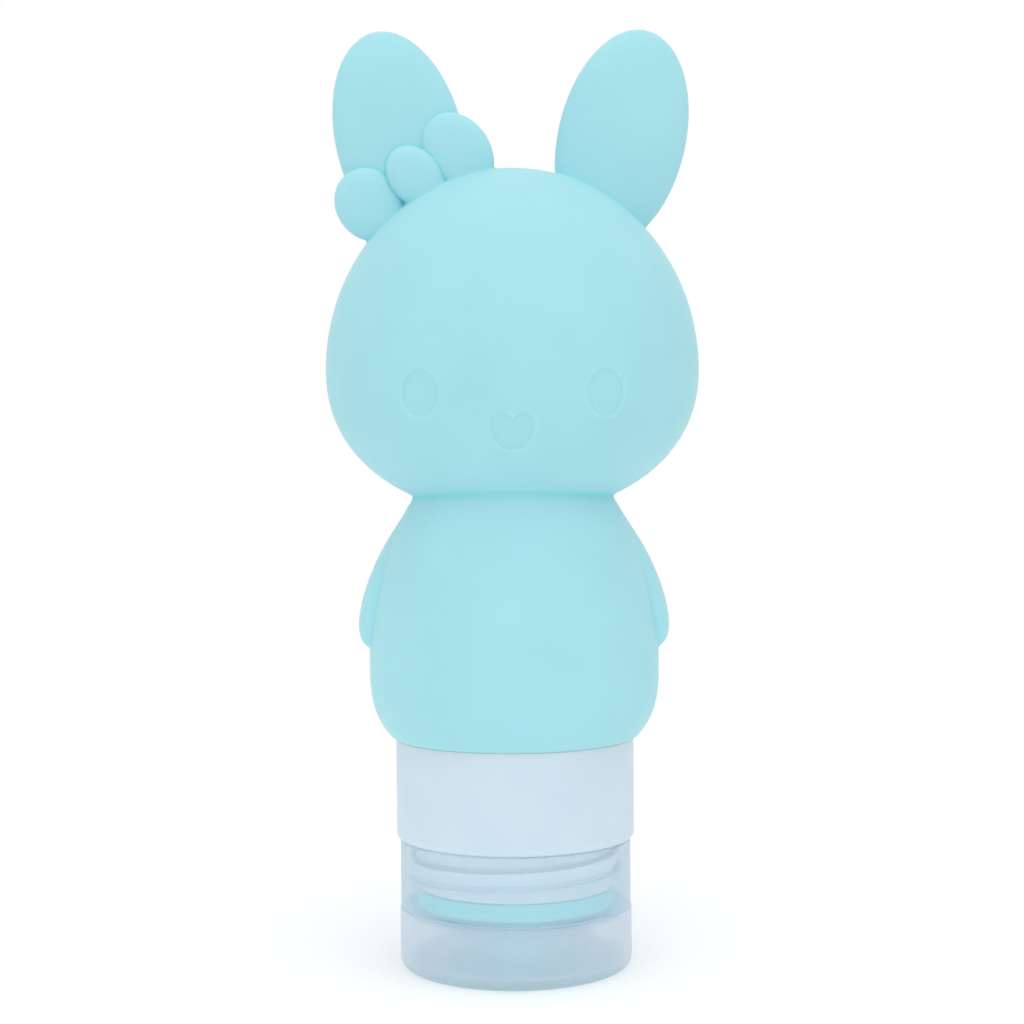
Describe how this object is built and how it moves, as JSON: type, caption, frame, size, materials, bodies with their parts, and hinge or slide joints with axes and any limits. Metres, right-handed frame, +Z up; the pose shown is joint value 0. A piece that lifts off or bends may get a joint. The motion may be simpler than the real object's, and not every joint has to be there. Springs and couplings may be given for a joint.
{
  "type": "squeeze travel bottle",
  "caption": "Rabbit-shaped silicone squeeze bottle for travel, standing upside down on its screw cap with flip lid, slit valve and neck collar.",
  "frame": {"origin": "centre of the lid's flat outer face, which the bottle stands on", "axes": "+Z up from the lid to the ears, -Y the way the face looks, the lid's hinge at +Y"},
  "size_m": [0.0612, 0.0476, 0.1544],
  "materials": {
    "silicone": "matte, soft to the touch, slightly translucent",
    "valve_silicone": "satin",
    "support_plastic": "natural polypropylene",
    "collar_plastic": "frosted",
    "cap_plastic": "hazy clear",
    "lid_plastic": "hazy clear"
  },
  "bodies": {
    "cap": {"screw_cap": "cap_plastic", "hinge_strap": "cap_plastic"},
    "lid": {"flip_lid": "lid_plastic"},
    "valve_core": {"dispensing_valve": "valve_silicone", "valve_retainer": "support_plastic"},
    "bottle": {"silicone_bottle": "silicone", "neck_support_ring": "support_plastic", "neck_collar": "collar_plastic"}
  },
  "joints": [
    {"name": "cap_turn", "type": "hinge", "parent": "cap", "child": "valve_core", "pos_m": [0, 0, 0.0158], "axis": [0, 0, 1], "range_deg": [0, 1440]},
    {"name": "cap_lift", "type": "slide", "parent": "valve_core", "child": "bottle", "axis": [0, 0, 1], "range_m": [0, 0.01405]},
    {"name": "lid_flip", "type": "hinge", "parent": "cap", "child": "lid", "pos_m": [0, 0.0203, 0.01015], "axis": [1, 0, 0], "range_deg": [0, 180], "deforming": ["hinge_strap"]}
  ],
  "couplings": [
    {"joint": "cap_lift", "follows": "cap_turn", "m_per_rad": 0.00055704}
  ]
}
